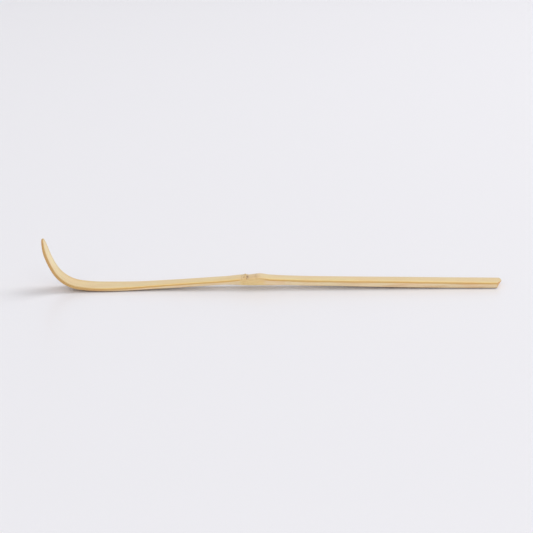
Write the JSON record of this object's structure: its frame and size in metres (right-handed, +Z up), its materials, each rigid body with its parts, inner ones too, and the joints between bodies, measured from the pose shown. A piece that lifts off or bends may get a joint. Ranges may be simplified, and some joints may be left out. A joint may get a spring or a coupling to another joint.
{
  "type": "tea scoop",
  "caption": "Bamboo powdered-tea scoop carved from one strip: curled-up rounded bowl, slim arched neck, ridged node near the middle and a flat-backed handle with a slanted end.",
  "frame": {"origin": "on the table, at the centre of the scoop's footprint, as it lies on its back", "axes": "+X along the scoop from the bowl to the handle's end, +Y across it, +Z up"},
  "size_m": [0.1797, 0.0108, 0.0201],
  "materials": {
    "culm_skin": "pale bamboo skin, smooth with a dull sheen and fine lengthwise fibres",
    "culm_flesh": "knife-cut bamboo with an orange line of dense fibres along its upper edge",
    "node_skin": "slightly darker, waxy bamboo skin with small cross wrinkles",
    "septum": "knife-cut cross-grained bamboo",
    "scar_rim": "rough brown rim with dark torn spots"
  },
  "bodies": {
    "root": {"bowl_skin": "culm_skin", "bowl_flesh": "culm_flesh", "sheath_scar": "scar_rim", "node_band": "node_skin", "septum_root": "septum", "handle_skin": "culm_skin", "handle_flesh": "culm_flesh"}
  },
  "joints": []
}
